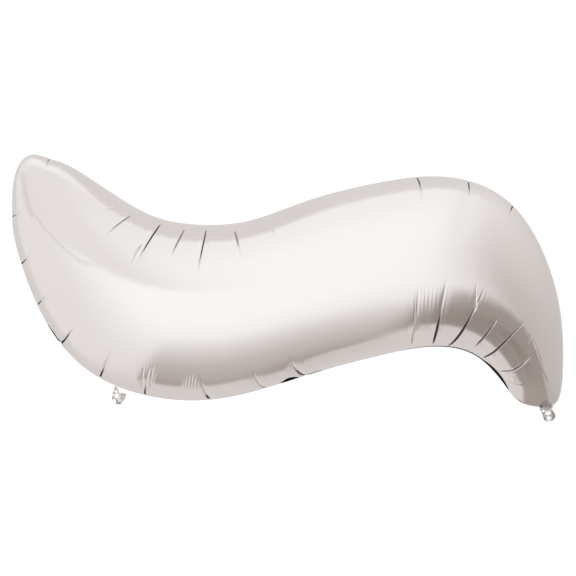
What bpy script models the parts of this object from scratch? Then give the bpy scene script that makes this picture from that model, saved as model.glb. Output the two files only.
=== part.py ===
"""Foil balloon in the shape of a lying wave, made of two heat sealed films.

Everything here is in millimetres until the meshes are made.
The seal lies in the XZ plane, the viewer looks along +Y, and the origin is the balloon's middle.
"""
import math

import bpy
import numpy as np

for leftover in list(bpy.data.objects):
    bpy.data.objects.remove(leftover, do_unlink=True)

# Driving sizes
MM = 0.001
WALL = 1.2            # drawn wall of the film, which is really about 0.04
SEAL_WIDTH = 4.5      # flat welded margin all the way round
SEAL_PLY = 0.6        # each film's share of that margin
GAP = 0.3             # between pieces that touch
FULLNESS = 0.9        # 1 would make every straight stretch a round tube
STEPS = 4             # solver columns for each outline point
ROWS = 12             # solver rows from seal to spine
FRONT = -1
BACK = 1

# One row for each rib across the body, from the left tip to the right tip.
# columns: low_x, low_z, high_x, high_z
RIBS = [
    (-425, 51, -334, 178),
    (-380, -62, -255, 127),
    (-297, -150, -193, 98),
    (-184, -185, -129, 90),
    (-74, -178, -54, 98),
    (44, -143, 38, 130),
    (154, -114, 147, 157),
    (228, -102, 257, 165),
    (295, -115, 361, 115),
    (342, -161, 423, -9),
]
# Outline points round the two tips, and where the spine ends inside each.
RIGHT_TIP = [(366, -189), (400, -197), (428, -184), (435, -117)]
LEFT_TIP = [(-373, 194), (-405, 200), (-429, 168), (-433, 110)]
RIGHT_END = (398, -140)
LEFT_END = (-392, 150)

# Puckers of the film. A place counts outline points along the lower edge, round the right
# tip, back along the upper edge and round the left tip, and a pucker leans by so many places
# on its way in. Those that start at 0 notch the seal.
# columns: place, start, reach, lean, depth, half_width, notch
CREASES = [
    (0.22, 0, 56, 0.06, 2.5, 8, 2.0),
    (0.77, 0, 60, 0.05, 2.5, 8, 2.0),
    (1.33, 0, 84, 0.07, 4.5, 10, 3.5),
    (2.02, 0, 96, 0.02, 4.0, 9, 2.0),
    (2.66, 0, 92, -0.03, 4.0, 9, 2.0),
    (3.62, 13, 92, -0.25, 3.0, 8, 0),
    (4.36, 0, 88, -0.22, 2.0, 8, 0.8),
    (4.88, 0, 96, -0.24, 4.5, 10, 2.5),
    (6.52, 38, 142, 0.02, 2.0, 8, 0),
    (7.01, 30, 152, 0.09, 4.0, 9, 0),
    (7.36, 16, 140, 0.46, 4.5, 9, 0),
    (7.94, 50, 114, 0.31, 3.5, 8, 0),
    (8.19, 22, 126, 0.58, 4.5, 9, 0),
    (8.66, 28, 84, 0.90, 3.5, 8, 0),
    (14.52, 0, 26, 0.0, 2.0, 7, 1.5),
    (15.05, 0, 56, 0.04, 2.5, 8, 1.5),
    (15.75, 0, 62, -0.04, 3.0, 9, 2.0),
    (16.49, 0, 76, -0.08, 3.0, 8, 1.6),
    (19.34, 52, 112, -0.18, 2.5, 8, 0),
    (19.94, 42, 132, 0.0, 3.0, 8, 0),
    (20.43, 46, 114, 0.11, 3.0, 8, 0),
    (21.03, 40, 138, 0.14, 4.5, 10, 0),
    (21.74, 50, 112, 0.22, 3.0, 8, 0),
    (24.05, 0, 44, -0.05, 3.0, 7, 2.0),
    (27.12, 0, 44, 0.10, 2.5, 7, 1.5),
]
COLUMN_STEP = 0.25                           # plain columns between the creases
CREASE_STEP = 0.45                           # columns across a crease, in half widths
CLOSEST = 0.012                              # no two columns are nearer than this
ROW_ANGLES = (0, 6, 14, 24, 36, 50, 68, 90)  # from the seal up to the spine, in degrees

# Fill neck and its clear valve, at the bottom of the right tip
NECK_X = 408.0
NECK_TILT = math.radians(11)     # leans to the right of straight down
NECK_HALF = 11.0
NECK_LENGTH = 8.0
NECK_OPENS_IN = 3.0
NECK_FLAT_FROM = 4.0             # from here down its outer face is flat, for a ribbon
NECK_PLY = 0.6
FOLD_GAP = 0.9                   # lets the welded neck fold
VALVE_HALF = 8.8
VALVE_PLY = 0.5
VALVE_START = 4.0
VALVE_END = 22.5
VALVE_SWELL = 6.0

# Clear tie tab, at the bottom of the left lobe
TAB_X = -267.0
TAB_TILT = math.radians(8)
TAB_PLY = 0.6
TAB_GAP = 0.5
# columns: distance from the seal, half width, sideways shift, curl
TAB_SECTIONS = [
    (0.0, 3.2, 0.0, 0.0),
    (5.0, 2.4, -2.4, 0.4),
    (8.5, 3.9, -2.0, 1.5),
    (13.0, 10.8, 0.4, 3.0),
    (16.0, 10.4, -0.1, 4.5),
    (20.0, 10.2, -2.8, 4.5),
    (24.0, 7.9, -3.3, 3.0),
    (27.0, 4.0, -2.2, 1.5),
]

OUTLINE = np.array(
    [(rib[0], rib[1]) for rib in RIBS]
    + RIGHT_TIP
    + [(rib[2], rib[3]) for rib in reversed(RIBS)]
    + LEFT_TIP,
    float,
)
SPINE = np.array(
    [LEFT_END]
    + [((rib[0] + rib[2])/2, (rib[1] + rib[3])/2) for rib in RIBS]
    + [RIGHT_END],
    float,
)
COUNT = len(OUTLINE)
TIP_HALF = 2.5                               # outline points from a tip's middle to its last rib
RIGHT_MIDDLE = len(RIBS) - 1 + TIP_HALF
LEFT_MIDDLE = COUNT/2 - TIP_HALF             # measured from the right tip's middle


def closed_slopes(points):
    """Slopes of the smooth closed curve through the points."""
    n = len(points)
    system = np.zeros((n, n))
    for i in range(n):
        system[i, i] = 4
        system[i, (i + 1) % n] += 1
        system[i, (i - 1) % n] += 1
    return np.linalg.solve(system, 3*(np.roll(points, -1, 0) - np.roll(points, 1, 0)))


def open_slopes(points):
    """Slopes of the smooth open curve through the points."""
    n = len(points)
    system = np.zeros((n, n))
    right = np.zeros_like(points)
    for i in range(1, n - 1):
        system[i, i - 1:i + 2] = (1, 4, 1)
        right[i] = 3*(points[i + 1] - points[i - 1])
    system[0, :2] = (2, 1)
    right[0] = 3*(points[1] - points[0])
    system[-1, -2:] = (1, 2)
    right[-1] = 3*(points[-1] - points[-2])
    return np.linalg.solve(system, right)


def between(points, slopes, i, j, part):
    """Point on the smooth curve between points i and j."""
    part = part[:, None]
    return (
        (2*part**3 - 3*part**2 + 1)*points[i]
        + (part**3 - 2*part**2 + part)*slopes[i]
        + (3*part**2 - 2*part**3)*points[j]
        + (part**3 - part**2)*slopes[j]
    )


OUTLINE_SLOPES = closed_slopes(OUTLINE)
SPINE_SLOPES = open_slopes(SPINE)


def edge(place):
    """Outer edge of the seal, in the XZ plane."""
    place = np.asarray(place, float) % COUNT
    i = np.floor(place).astype(int)
    return between(OUTLINE, OUTLINE_SLOPES, i % COUNT, (i + 1) % COUNT, place - i)


def inward(place):
    """Unit direction across the seal, toward the inside."""
    run = edge(np.asarray(place) + 0.01) - edge(np.asarray(place) - 0.01)
    run /= np.linalg.norm(run, axis=1)[:, None]
    return np.stack([-run[:, 1], run[:, 0]], 1)


def weld(place):
    """Inner edge of the seal, where the two films part."""
    return edge(place) + SEAL_WIDTH*inward(place)


def spine(place):
    """Point of the spine that a place on the outline faces."""
    place = np.asarray(place, float) % COUNT
    away = np.abs((place - RIGHT_MIDDLE + COUNT/2) % COUNT - COUNT/2)
    last = len(RIBS) - 1
    rib = np.where(
        away < TIP_HALF,
        last + 1 - away/TIP_HALF,
        np.where(away > LEFT_MIDDLE, (LEFT_MIDDLE - away)/TIP_HALF, last + TIP_HALF - away),
    )
    at = np.clip(rib + 1, 0, len(SPINE) - 1)
    i = np.minimum(np.floor(at).astype(int), len(SPINE) - 2)
    return between(SPINE, SPINE_SLOPES, i, i + 1, at - i)


def inflate():
    """Solve the height of a blown up film over the flat pattern.

    The square of the height behaves like a soap film under even pressure, which makes a long
    straight stretch a round tube and a tip a flatter cushion. Triangles with one unknown for
    each corner are enough. Returns height divided by the sine of the row angle.
    """
    n = COUNT*STEPS
    place = RIGHT_MIDDLE + np.arange(n)/STEPS
    rim = weld(place)
    crest = spine(place)
    angle = np.linspace(0, math.pi/2, ROWS + 1)
    ids = np.zeros((n, ROWS + 1), int)
    plan = []
    for i in range(n):
        for j in range(ROWS):
            ids[i, j] = len(plan)
            plan.append(rim[i] + (crest[i] - rim[i])*(1 - math.cos(angle[j])))
        mate = (n - i) % n
        if mate < i:
            ids[i, ROWS] = ids[mate, ROWS]
        else:
            ids[i, ROWS] = len(plan)
            plan.append(crest[i])
    plan = np.array(plan)
    triangles = []
    for i in range(n):
        k = (i + 1) % n
        for j in range(ROWS):
            a, b, c, d = ids[i, j], ids[k, j], ids[k, j + 1], ids[i, j + 1]
            triangles.append((a, b, c))
            if c != d:
                triangles.append((a, c, d))
    triangles = np.array(triangles)
    corner = plan[triangles]
    side = np.stack(
        [corner[:, 2] - corner[:, 1], corner[:, 0] - corner[:, 2], corner[:, 1] - corner[:, 0]], 1
    )
    area = 0.5*np.abs(side[:, 0, 0]*side[:, 1, 1] - side[:, 0, 1]*side[:, 1, 0])
    stiffness = np.zeros((len(plan), len(plan)))
    load = np.zeros(len(plan))
    for a in range(3):
        np.add.at(load, triangles[:, a], 2*area/3)
        for b in range(3):
            pull = (side[:, a]*side[:, b]).sum(1)/(4*area)
            np.add.at(stiffness, (triangles[:, a], triangles[:, b]), pull)
    free = np.setdiff1d(np.arange(len(plan)), ids[:, 0])
    square = np.zeros(len(plan))
    square[free] = np.linalg.solve(stiffness[np.ix_(free, free)], load[free])
    height = np.sqrt(np.maximum(square, 0))[ids]
    ratio = np.zeros_like(height)
    ratio[:, 1:] = height[:, 1:]/np.sin(angle[1:])
    ratio[:, 0] = (4*ratio[:, 1] - ratio[:, 2])/3
    return ratio


RATIO = inflate()


def through(a, b, c, d, part):
    """Smooth value between b and c."""
    return 0.5*(
        2*b + (c - a)*part + (2*a - 5*b + 4*c - d)*part**2 + (3*b - a - 3*c + d)*part**3
    )


def swell(place, angle):
    """Height of the smooth film over the seal."""
    n = len(RATIO)
    mate = (-np.arange(n)) % n
    grid = np.concatenate([RATIO[:, 1:2], RATIO, RATIO[mate, ROWS - 1:ROWS]], 1)
    x = ((place - RIGHT_MIDDLE)*STEPS) % n
    i = np.floor(x).astype(int)
    y = angle/(math.pi/2)*ROWS
    j = np.clip(np.floor(y).astype(int), 0, ROWS - 1)
    lines = []
    for row in range(4):
        values = [grid[(i + k) % n, j + row] for k in (-1, 0, 1, 2)]
        lines.append(through(*values, x - i))
    return FULLNESS*through(*lines, y - j)*np.sin(angle)


def smooth_film(place, angle):
    """The film without its creases, as x, height over the seal, z."""
    rim = weld(place)
    plan = rim + (spine(place) - rim)*(1 - np.cos(angle))[:, None]
    return np.stack([plan[:, 0], swell(place, angle), plan[:, 1]], 1)


def outward(place, angle):
    """Unit normal of the smooth film."""
    angle = np.minimum(angle, math.radians(88))
    along = smooth_film(place + 0.02, angle) - smooth_film(place - 0.02, angle)
    up = smooth_film(place, angle + 0.02) - smooth_film(place, np.maximum(angle - 0.02, 0))
    normal = np.cross(along, up)
    return -normal/np.linalg.norm(normal, axis=1)[:, None]


def crease_depth(place, angle):
    """How far the film is drawn in at each point."""
    film = smooth_film(place, angle)
    inboard = np.linalg.norm(film - smooth_film(place, np.zeros_like(angle)), axis=1)
    step = smooth_film(place + 0.02, angle) - smooth_film(place - 0.02, angle)
    pace = np.linalg.norm(step, axis=1)/0.04
    total = np.zeros(len(film))
    for at, start, reach, lean, depth, half, notch in CREASES:
        part = np.clip((inboard - start)/(reach - start), 0, 1)
        aside = np.abs((place - at - lean*part + COUNT/2) % COUNT - COUNT/2)*pace/half
        across = np.clip(1 - aside, 0, 1)
        rise = np.clip(part/0.2, 0, 1)
        first = notch/depth if start == 0 else 0
        along = np.where(part < 0.2, first + (1 - first)*rise, 1 - (part - 0.2)/0.8)
        along = np.where(inboard < start, 0, along)
        total = np.maximum(total, depth*across*along)
    return total


def film_point(place, angle, inside):
    """Film surface, outside or one wall further in, as x, height over the seal, z."""
    film = smooth_film(place, angle)
    normal = outward(place, angle)
    return film - normal*(crease_depth(place, angle) + inside)[:, None]


def material(name, color, roughness, metallic, alpha=1.0):
    made = bpy.data.materials.new(name)
    made.use_nodes = True
    shader = made.node_tree.nodes["Principled BSDF"]
    shader.inputs["Base Color"].default_value = (*color, 1)
    shader.inputs["Roughness"].default_value = roughness
    shader.inputs["Metallic"].default_value = metallic
    shader.inputs["Alpha"].default_value = alpha
    return made


FOIL = material("satin_silver_film", (0.86, 0.84, 0.83), 0.25, 1.0)
CLEAR = material("clear_film", (0.90, 0.89, 0.87), 0.15, 0.0, 0.5)


def make_object(name, points, faces, look, origin=(0, 0, 0)):
    """Mesh object from points in millimetres, with its origin where asked."""
    origin = np.array(origin, float)
    mesh = bpy.data.meshes.new(name)
    mesh.from_pydata([tuple(p) for p in (np.array(points) - origin)*MM], [], faces)
    mesh.validate()
    mesh.shade_smooth()
    mesh.set_sharp_from_angle(angle=math.radians(35))
    mesh.materials.append(look)
    made = bpy.data.objects.new(name, mesh)
    made.location = tuple(origin*MM)
    bpy.context.scene.collection.objects.link(made)
    return made


SEATS = ((NECK_X, NECK_HALF), (TAB_X, TAB_SECTIONS[0][1]))
LOWER_PLACES = np.linspace(0, 11.6, 1161)    # the seal's edge from the left to the lowest right
LOWER_EDGE = edge(LOWER_PLACES)


def seat_place(x):
    """Place on the lower edge at a distance along X."""
    return float(np.interp(x, LOWER_EDGE[:, 0], LOWER_PLACES))


def edge_height(x):
    """Height of the lower edge at a distance along X."""
    return float(np.interp(x, LOWER_EDGE[:, 0], LOWER_EDGE[:, 1]))


def film_places():
    """Columns of the film: close together in every crease, plain ones between."""
    plain = np.arange(0, COUNT, COLUMN_STEP)
    pace = np.linalg.norm(edge(plain + 0.01) - edge(plain - 0.01), axis=1)/0.02
    crease = []
    for at, _start, _reach, lean, _depth, half, _notch in CREASES:
        width = half/np.interp(at % COUNT, plain, pace)
        middle = at + lean/2
        span = width + abs(lean)/2
        steps = math.ceil(2*span/(CREASE_STEP*width))
        crease += [middle + span*(2*k/steps - 1) for k in range(steps + 1)]
        kept = np.abs((plain - middle + COUNT/2) % COUNT - COUNT/2) > span + width*0.4
        plain, pace = plain[kept], pace[kept]
    seats = [seat_place(x + share*half) for x, half in SEATS for share in (-1, 0, 1)]
    near = np.min(np.abs(plain[:, None] - np.array(seats)[None]), axis=1) < 0.06
    places = np.sort(np.array(crease + seats + list(plain[~near])) % COUNT)
    return places[np.append(True, np.diff(places) > CLOSEST)]


def quads_between(first, second, flip):
    """Faces between two closed rings of the same length."""
    n = len(first)
    faces = []
    for i in range(n):
        k = (i + 1) % n
        face = (first[i], first[k], second[k], second[i])
        faces.append(face[::-1] if flip else face)
    return faces


def film(name, side):
    """One film as a closed thin shell: outer skin, inner skin and its half of the seal."""
    places = film_places()
    n = len(places)
    points = []
    faces = []
    flip = side == BACK

    def ring(xyz):
        start = len(points)
        for x, height, z in xyz:
            points.append((x, side*(GAP/2 + height), z))
        return list(range(start, start + len(xyz)))

    def flat_ring(plan, height):
        return ring(np.stack([plan[:, 0], np.full(n, height), plan[:, 1]], 1))

    zero = np.zeros(n)
    drawn = crease_depth(places, zero)[:, None]*inward(places)
    rim_top = flat_ring(edge(places) + drawn, SEAL_PLY)
    rim_low = flat_ring(edge(places) + drawn, 0.0)
    inner_low = flat_ring(weld(places) + drawn + WALL*inward(places), 0.0)
    skins = []
    for inside in (0.0, WALL):
        rows = []
        for degrees in ROW_ANGLES[:-1]:
            if inside and degrees == 0:
                rows.append(inner_low)
                continue
            xyz = film_point(places, np.full(n, math.radians(degrees)), np.full(n, inside))
            xyz[:, 1] += SEAL_PLY
            rows.append(ring(xyz))
        skins.append(rows)
    faces += quads_between(rim_low, rim_top, flip)
    faces += quads_between(rim_top, skins[0][0], flip)
    faces += quads_between(inner_low, rim_low, flip)
    for rows, turned in ((skins[0], flip), (skins[1], not flip)):
        for first, second in zip(rows, rows[1:]):
            faces += quads_between(first, second, turned)
    for rows, inside, turned in ((skins[0], 0.0, flip), (skins[1], WALL, not flip)):
        faces += close_crest(points, rows[-1], places, inside, side, turned)
    return make_object(name, points, faces, FOIL)


def close_crest(points, last, places, inside, side, turned):
    """Spine of evenly spaced points, stitched to the last row on both of its sides."""
    away = (places - RIGHT_MIDDLE) % COUNT
    crest_away = np.arange(0, COUNT/2 + 0.01, COLUMN_STEP)
    start = len(points)
    crest = film_point(
        RIGHT_MIDDLE + crest_away,
        np.full(len(crest_away), math.pi/2),
        np.full(len(crest_away), inside),
    )
    for x, height, z in crest:
        points.append((x, side*(GAP/2 + SEAL_PLY + height), z))
    order = np.argsort(away)
    ring = [last[i] for i in order]
    at = list(away[order])
    loop = [start + i for i in range(len(crest_away))]
    loop += [start + i for i in range(len(crest_away) - 2, 0, -1)]
    loop_at = list(crest_away) + [COUNT - value for value in crest_away[-2:0:-1]]
    faces = []
    i = j = 0
    while i < len(ring) or j < len(loop):
        next_ring = at[i + 1] if i + 1 < len(ring) else COUNT + at[0]
        next_loop = loop_at[j + 1] if j + 1 < len(loop) else COUNT
        a = ring[i % len(ring)]
        c = loop[j % len(loop)]
        if j >= len(loop) or (i < len(ring) and next_ring <= next_loop):
            face = (a, ring[(i + 1) % len(ring)], c)
            i += 1
        else:
            face = (a, loop[(j + 1) % len(loop)], c)
            j += 1
        faces.append(face[::-1] if turned else face)
    return faces


def sheet(name, grid, thickness, look, origin):
    """Closed thin solid round a grid of middle points [row, column, xyz]."""
    rows, columns = grid.shape[:2]
    down = np.gradient(grid, axis=0)
    aside = np.gradient(grid, axis=1)
    normal = np.cross(down, aside)
    normal /= np.linalg.norm(normal, axis=2)[:, :, None]
    top = grid + normal*thickness/2
    low = grid - normal*thickness/2
    points = [tuple(p) for p in top.reshape(-1, 3)] + [tuple(p) for p in low.reshape(-1, 3)]
    under = rows*columns

    def at(i, j, layer=0):
        return layer*under + i*columns + j

    faces = []
    for i in range(rows - 1):
        for j in range(columns - 1):
            faces.append((at(i, j), at(i + 1, j), at(i + 1, j + 1), at(i, j + 1)))
            faces.append(
                (at(i, j, 1), at(i, j + 1, 1), at(i + 1, j + 1, 1), at(i + 1, j, 1))
            )
    for i in range(rows - 1):
        faces.append((at(i, 0), at(i, 0, 1), at(i + 1, 0, 1), at(i + 1, 0)))
        last = columns - 1
        faces.append((at(i, last), at(i + 1, last), at(i + 1, last, 1), at(i, last, 1)))
    for j in range(columns - 1):
        faces.append((at(0, j), at(0, j + 1), at(0, j + 1, 1), at(0, j, 1)))
        last = rows - 1
        faces.append((at(last, j), at(last, j, 1), at(last, j + 1, 1), at(last, j + 1)))
    return make_object(name, points, faces, look, origin)


def hang(seat_x, tilt):
    """Seat on the seal's edge, direction across the piece and direction down it."""
    seat = np.array([seat_x, 0.0, edge_height(seat_x)])
    down = np.array([math.sin(tilt), 0.0, -math.cos(tilt)])
    across = np.array([math.cos(tilt), 0.0, math.sin(tilt)])
    return seat, across, down


def hanging_grid(seat, across, down, depths, halves, shifts, gap, height, columns):
    """Middle surface of a strip that hangs from the seal's edge and follows it at the top."""
    grid = np.zeros((len(depths), columns, 3))
    for i, depth in enumerate(depths):
        for j in range(columns):
            u = -1 + 2*j/(columns - 1)
            aside = shifts[i] + u*halves[i]
            point = seat + across*aside + down*depth
            top = seat + across*(shifts[0] + u*halves[0])
            lift = edge_height(top[0]) - gap - top[2]
            fade = max(0.0, 1 - depth/depths[-1])
            point = point + np.array([0, 0, lift*fade])
            point[1] = height(u, depth)
            grid[i, j] = point
    return grid


film("front_film", FRONT)
film("back_film", BACK)

neck_seat, neck_across, neck_down = hang(NECK_X, NECK_TILT)
for name, side in (("neck_front", FRONT), ("neck_back", BACK)):
    near = GAP/2 + NECK_PLY/2
    far = GAP/2 + VALVE_PLY + GAP + NECK_PLY/2

    def neck_height(_u, depth, side=side, near=near, far=far):
        return side*(near + (far - near)*min(1.0, depth/NECK_OPENS_IN))

    neck_grid = hanging_grid(
        neck_seat, neck_across, neck_down,
        depths=[0.0, NECK_OPENS_IN, NECK_FLAT_FROM, NECK_LENGTH],
        halves=[NECK_HALF, NECK_HALF - 0.4, NECK_HALF - 0.5, NECK_HALF - 1.0],
        shifts=[0.0, 0.0, 0.0, 0.0],
        gap=FOLD_GAP, height=neck_height, columns=7,
    )
    sheet(name, neck_grid, NECK_PLY, FOIL, neck_seat)

for name, side in (("valve_front", FRONT), ("valve_back", BACK)):
    def valve_height(u, depth, side=side):
        out = max(0.0, depth - NECK_LENGTH)/(VALVE_END - NECK_LENGTH)
        bulge = VALVE_SWELL*math.sin(out*math.pi*0.62)*(1 - u*u)
        return side*(GAP/2 + VALVE_PLY/2 + 0.15*out + bulge)

    valve_depths = [VALVE_START, NECK_LENGTH, 10.5, 13.5, 17.0, 20.0, VALVE_END]
    valve_grid = hanging_grid(
        neck_seat, neck_across, neck_down,
        depths=valve_depths,
        halves=[VALVE_HALF, VALVE_HALF, 8.4, 8.6, 9.2, 8.8, 6.5],
        shifts=[0.0, 0.0, 0.4, 0.9, 1.3, 1.4, 1.0],
        gap=FOLD_GAP, height=valve_height, columns=9,
    )
    sheet(name, valve_grid, VALVE_PLY, CLEAR, neck_seat)

tab_seat, tab_across, tab_down = hang(TAB_X, TAB_TILT)
tab_curl = {row[0]: row[3] for row in TAB_SECTIONS}


def tab_height(u, depth):
    return tab_curl[depth]*(u*u - 0.4) if depth > 0 else 0.0


tab_grid = hanging_grid(
    tab_seat, tab_across, tab_down,
    depths=[row[0] for row in TAB_SECTIONS],
    halves=[row[1] for row in TAB_SECTIONS],
    shifts=[row[2] for row in TAB_SECTIONS],
    gap=TAB_GAP, height=tab_height, columns=9,
)
sheet("tie_tab", tab_grid, TAB_PLY, CLEAR, tab_seat)
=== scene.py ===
# %% [markdown]
# # A satin foil balloon in a lying wave shape
#
# The real balloon is two sheets of silvered film, cut to one outline, laid on each other and
# welded round the edge. Gas pushes the sheets apart. Film can't stretch, so wherever the edge
# curves outwards it has too much length, and it gathers into short sharp puckers at the weld.
# Where the edge curves inwards the weld pulls tight, and long pleats start a little way in.
#
# The lesson follows that order: outline, blown-up form, pleats, ripples, then the foil's
# finish, the two small tails of film, the studio and the camera.

# %% Load the measured model
import math

import bpy
import numpy as np
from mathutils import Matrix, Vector


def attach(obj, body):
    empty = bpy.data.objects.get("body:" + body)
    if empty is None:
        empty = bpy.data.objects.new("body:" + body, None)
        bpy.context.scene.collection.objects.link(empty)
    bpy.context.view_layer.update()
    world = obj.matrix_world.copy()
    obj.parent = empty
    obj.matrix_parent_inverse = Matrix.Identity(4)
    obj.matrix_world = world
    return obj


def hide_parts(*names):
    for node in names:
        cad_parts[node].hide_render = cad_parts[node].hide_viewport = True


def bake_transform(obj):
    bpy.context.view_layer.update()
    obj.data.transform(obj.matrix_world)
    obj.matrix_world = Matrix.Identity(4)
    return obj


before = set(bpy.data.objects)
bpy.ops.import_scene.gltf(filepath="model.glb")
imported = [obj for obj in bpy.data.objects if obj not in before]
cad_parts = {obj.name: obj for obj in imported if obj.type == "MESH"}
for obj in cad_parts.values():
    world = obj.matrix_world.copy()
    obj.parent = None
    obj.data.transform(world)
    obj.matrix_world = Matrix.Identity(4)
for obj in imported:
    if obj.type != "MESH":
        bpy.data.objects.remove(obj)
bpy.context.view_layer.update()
MM = 0.001

# %% [markdown]
# ## The camera
#
# The photograph was taken straight from the front with a long lens, so the balloon shows
# hardly any perspective. A camera far away with a 300 mm lens gives the same look. It is
# aimed level, and moved sideways until the balloon sits where it does in the photograph,
# which keeps upright things upright.

# %% Camera
LENS = 300.0
SENSOR = 36.0
FRAME_WIDTH = 0.9072        # metres that the frame spans at the weld's plane
CAMERA_X = 0.0016           # these two set the balloon where the photograph has it
CAMERA_Z = -0.0095


def add_object(name, data):
    made = bpy.data.objects.new(name, data)
    bpy.context.scene.collection.objects.link(made)
    return made


camera_data = bpy.data.cameras.new("camera")
camera = add_object("camera", camera_data)
camera_data.lens = LENS
camera_data.sensor_width = SENSOR
camera_data.clip_end = 100
camera_away = FRAME_WIDTH*LENS/SENSOR
camera.location = (CAMERA_X, -camera_away, CAMERA_Z)
camera.rotation_euler = (math.radians(90), 0, 0)
bpy.context.scene.camera = camera
print("camera stands", round(camera_away, 2), "m in front of the weld")

# %% [markdown]
# ## The outline
#
# A drawing with hundreds of points would be hard to change. The wave is drawn with ten ribs
# instead: each one is a straight line across the body, from the lower edge to the upper one.
# A few extra points round off the two tips, and one smooth closed curve runs through all of
# them. Everything below is measured in millimetres on that curve, with X along the balloon
# and Z up.

# %% Ribs, tips and spine
SEAL_WIDTH = 4.5            # of the whole weld, from which the blown-up height is solved
SEAL_SEEN = 0.6             # of the weld, this much shows beside the blown-up film
SEAL_RISE = 1.2             # height of the film where it leaves the weld
GAP = 0.3                   # between the two films at the weld
FULLNESS = 0.9              # 1 would make every straight stretch a round tube
STEPS = 4                   # solver columns between two outline points
ROWS = 12                   # solver rows from the weld up to the spine
# columns: low_x, low_z, high_x, high_z
RIBS = [
    (-425, 51, -334, 178),
    (-380, -62, -255, 127),
    (-297, -150, -193, 98),
    (-184, -185, -129, 90),
    (-74, -178, -54, 98),
    (44, -143, 38, 130),
    (154, -114, 147, 157),
    (228, -102, 257, 165),
    (295, -115, 361, 115),
    (342, -161, 423, -9),
]
RIGHT_TIP = [(366, -189), (400, -197), (428, -184), (435, -117)]
LEFT_TIP = [(-373, 194), (-405, 200), (-429, 168), (-433, 110)]
RIGHT_END = (402, -140)
LEFT_END = (-399, 150)
OUTLINE = np.array(
    [rib[:2] for rib in RIBS] + RIGHT_TIP + [rib[2:] for rib in reversed(RIBS)] + LEFT_TIP, float
)
RIB_MIDDLES = [((rib[0] + rib[2])/2, (rib[1] + rib[3])/2) for rib in RIBS]
SPINE = np.array([LEFT_END] + RIB_MIDDLES + [RIGHT_END], float)
COUNT = len(OUTLINE)
TIP_HALF = 2.5              # outline points from the last rib to the middle of a tip
RIGHT_MIDDLE = len(RIBS) - 1 + TIP_HALF
LEFT_MIDDLE = COUNT/2 - TIP_HALF
print("outline points:", COUNT)

# %% Smooth curves through the points
NUDGE = 0.02                # of a place or an angle, to measure a slope


def lengths(vectors):
    return np.linalg.norm(vectors, axis=1)


def smooth_slopes(points, closed):
    """Slopes that give the smoothest curve through the points."""
    n = len(points)
    system = 4*np.eye(n) + np.eye(n, k=1) + np.eye(n, k=-1)
    right = 3*(np.roll(points, -1, 0) - np.roll(points, 1, 0))
    if closed:
        system[0, -1] = system[-1, 0] = 1
    else:
        system[0, 0] = system[-1, -1] = 2
        right[0], right[-1] = 3*(points[1] - points[0]), 3*(points[-1] - points[-2])
    return np.linalg.solve(system, right)


def between(points, slopes, i, j, part):
    """Point on the smooth curve, part of the way from point i to point j."""
    part = part[:, None]
    return (
        (2*part**3 - 3*part**2 + 1)*points[i]
        + (part**3 - 2*part**2 + part)*slopes[i]
        + (3*part**2 - 2*part**3)*points[j]
        + (part**3 - part**2)*slopes[j]
    )


OUTLINE_SLOPES = smooth_slopes(OUTLINE, True)
SPINE_SLOPES = smooth_slopes(SPINE, False)


def beside(place, at, whole=COUNT):
    """Signed distance from at to place, the short way round the closed edge."""
    return (place - at + whole/2) % whole - whole/2


def edge(place):
    """Outer edge of the weld; a place counts the outline points."""
    place = np.asarray(place, float) % COUNT
    i = np.floor(place).astype(int)
    return between(OUTLINE, OUTLINE_SLOPES, i % COUNT, (i + 1) % COUNT, place - i)


def inward(place):
    """Unit direction across the weld, towards the inside."""
    run = edge(np.asarray(place) + 0.01) - edge(np.asarray(place) - 0.01)
    run /= lengths(run)[:, None]
    return np.stack([-run[:, 1], run[:, 0]], 1)


def weld(place):
    return edge(place) + SEAL_WIDTH*inward(place)


def foot(place):
    return edge(place) + SEAL_SEEN*inward(place)


def spine(place):
    """Point of the balloon's middle line that belongs to a place on the edge."""
    place = np.asarray(place, float) % COUNT
    away = np.abs(beside(place, RIGHT_MIDDLE))
    last = len(RIBS) - 1
    rib = np.where(
        away < TIP_HALF,
        last + 1 - away/TIP_HALF,
        np.where(away > LEFT_MIDDLE, (LEFT_MIDDLE - away)/TIP_HALF, last + TIP_HALF - away),
    )
    at = np.clip(rib + 1, 0, len(SPINE) - 1)
    i = np.minimum(np.floor(at).astype(int), len(SPINE) - 2)
    return between(SPINE, SPINE_SLOPES, i, i + 1, at - i)


NECK_X = 408.0
LOWER_PLACES = np.linspace(0, 11.6, 1161)    # the edge from the left to the lowest right
LOWER_EDGE = edge(LOWER_PLACES)
NECK_PLACE = float(np.interp(NECK_X, LOWER_EDGE[:, 0], LOWER_PLACES))
PACE_PLACES = np.arange(0, COUNT, 0.01)
PACE = lengths(edge(PACE_PLACES + 0.01) - edge(PACE_PLACES - 0.01))/0.02
print("length round the edge:", round(float(PACE.mean())*COUNT), "mm")

# %% [markdown]
# ## Blowing it up
#
# How high does the film stand over each point of the flat pattern? A cloth simulation would
# find it, but it takes long and lands a little differently each time the mesh changes. The
# shape also follows a rule. Let a soap film hang on the outline under even pressure and take
# the square root of its height: a long straight strip becomes a round tube, and a tip
# becomes a flatter cushion, just as a real balloon does. The soap film is solved on a coarse
# grid of triangles, and read back smoothly.

# %% Solve the blown-up height


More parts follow.
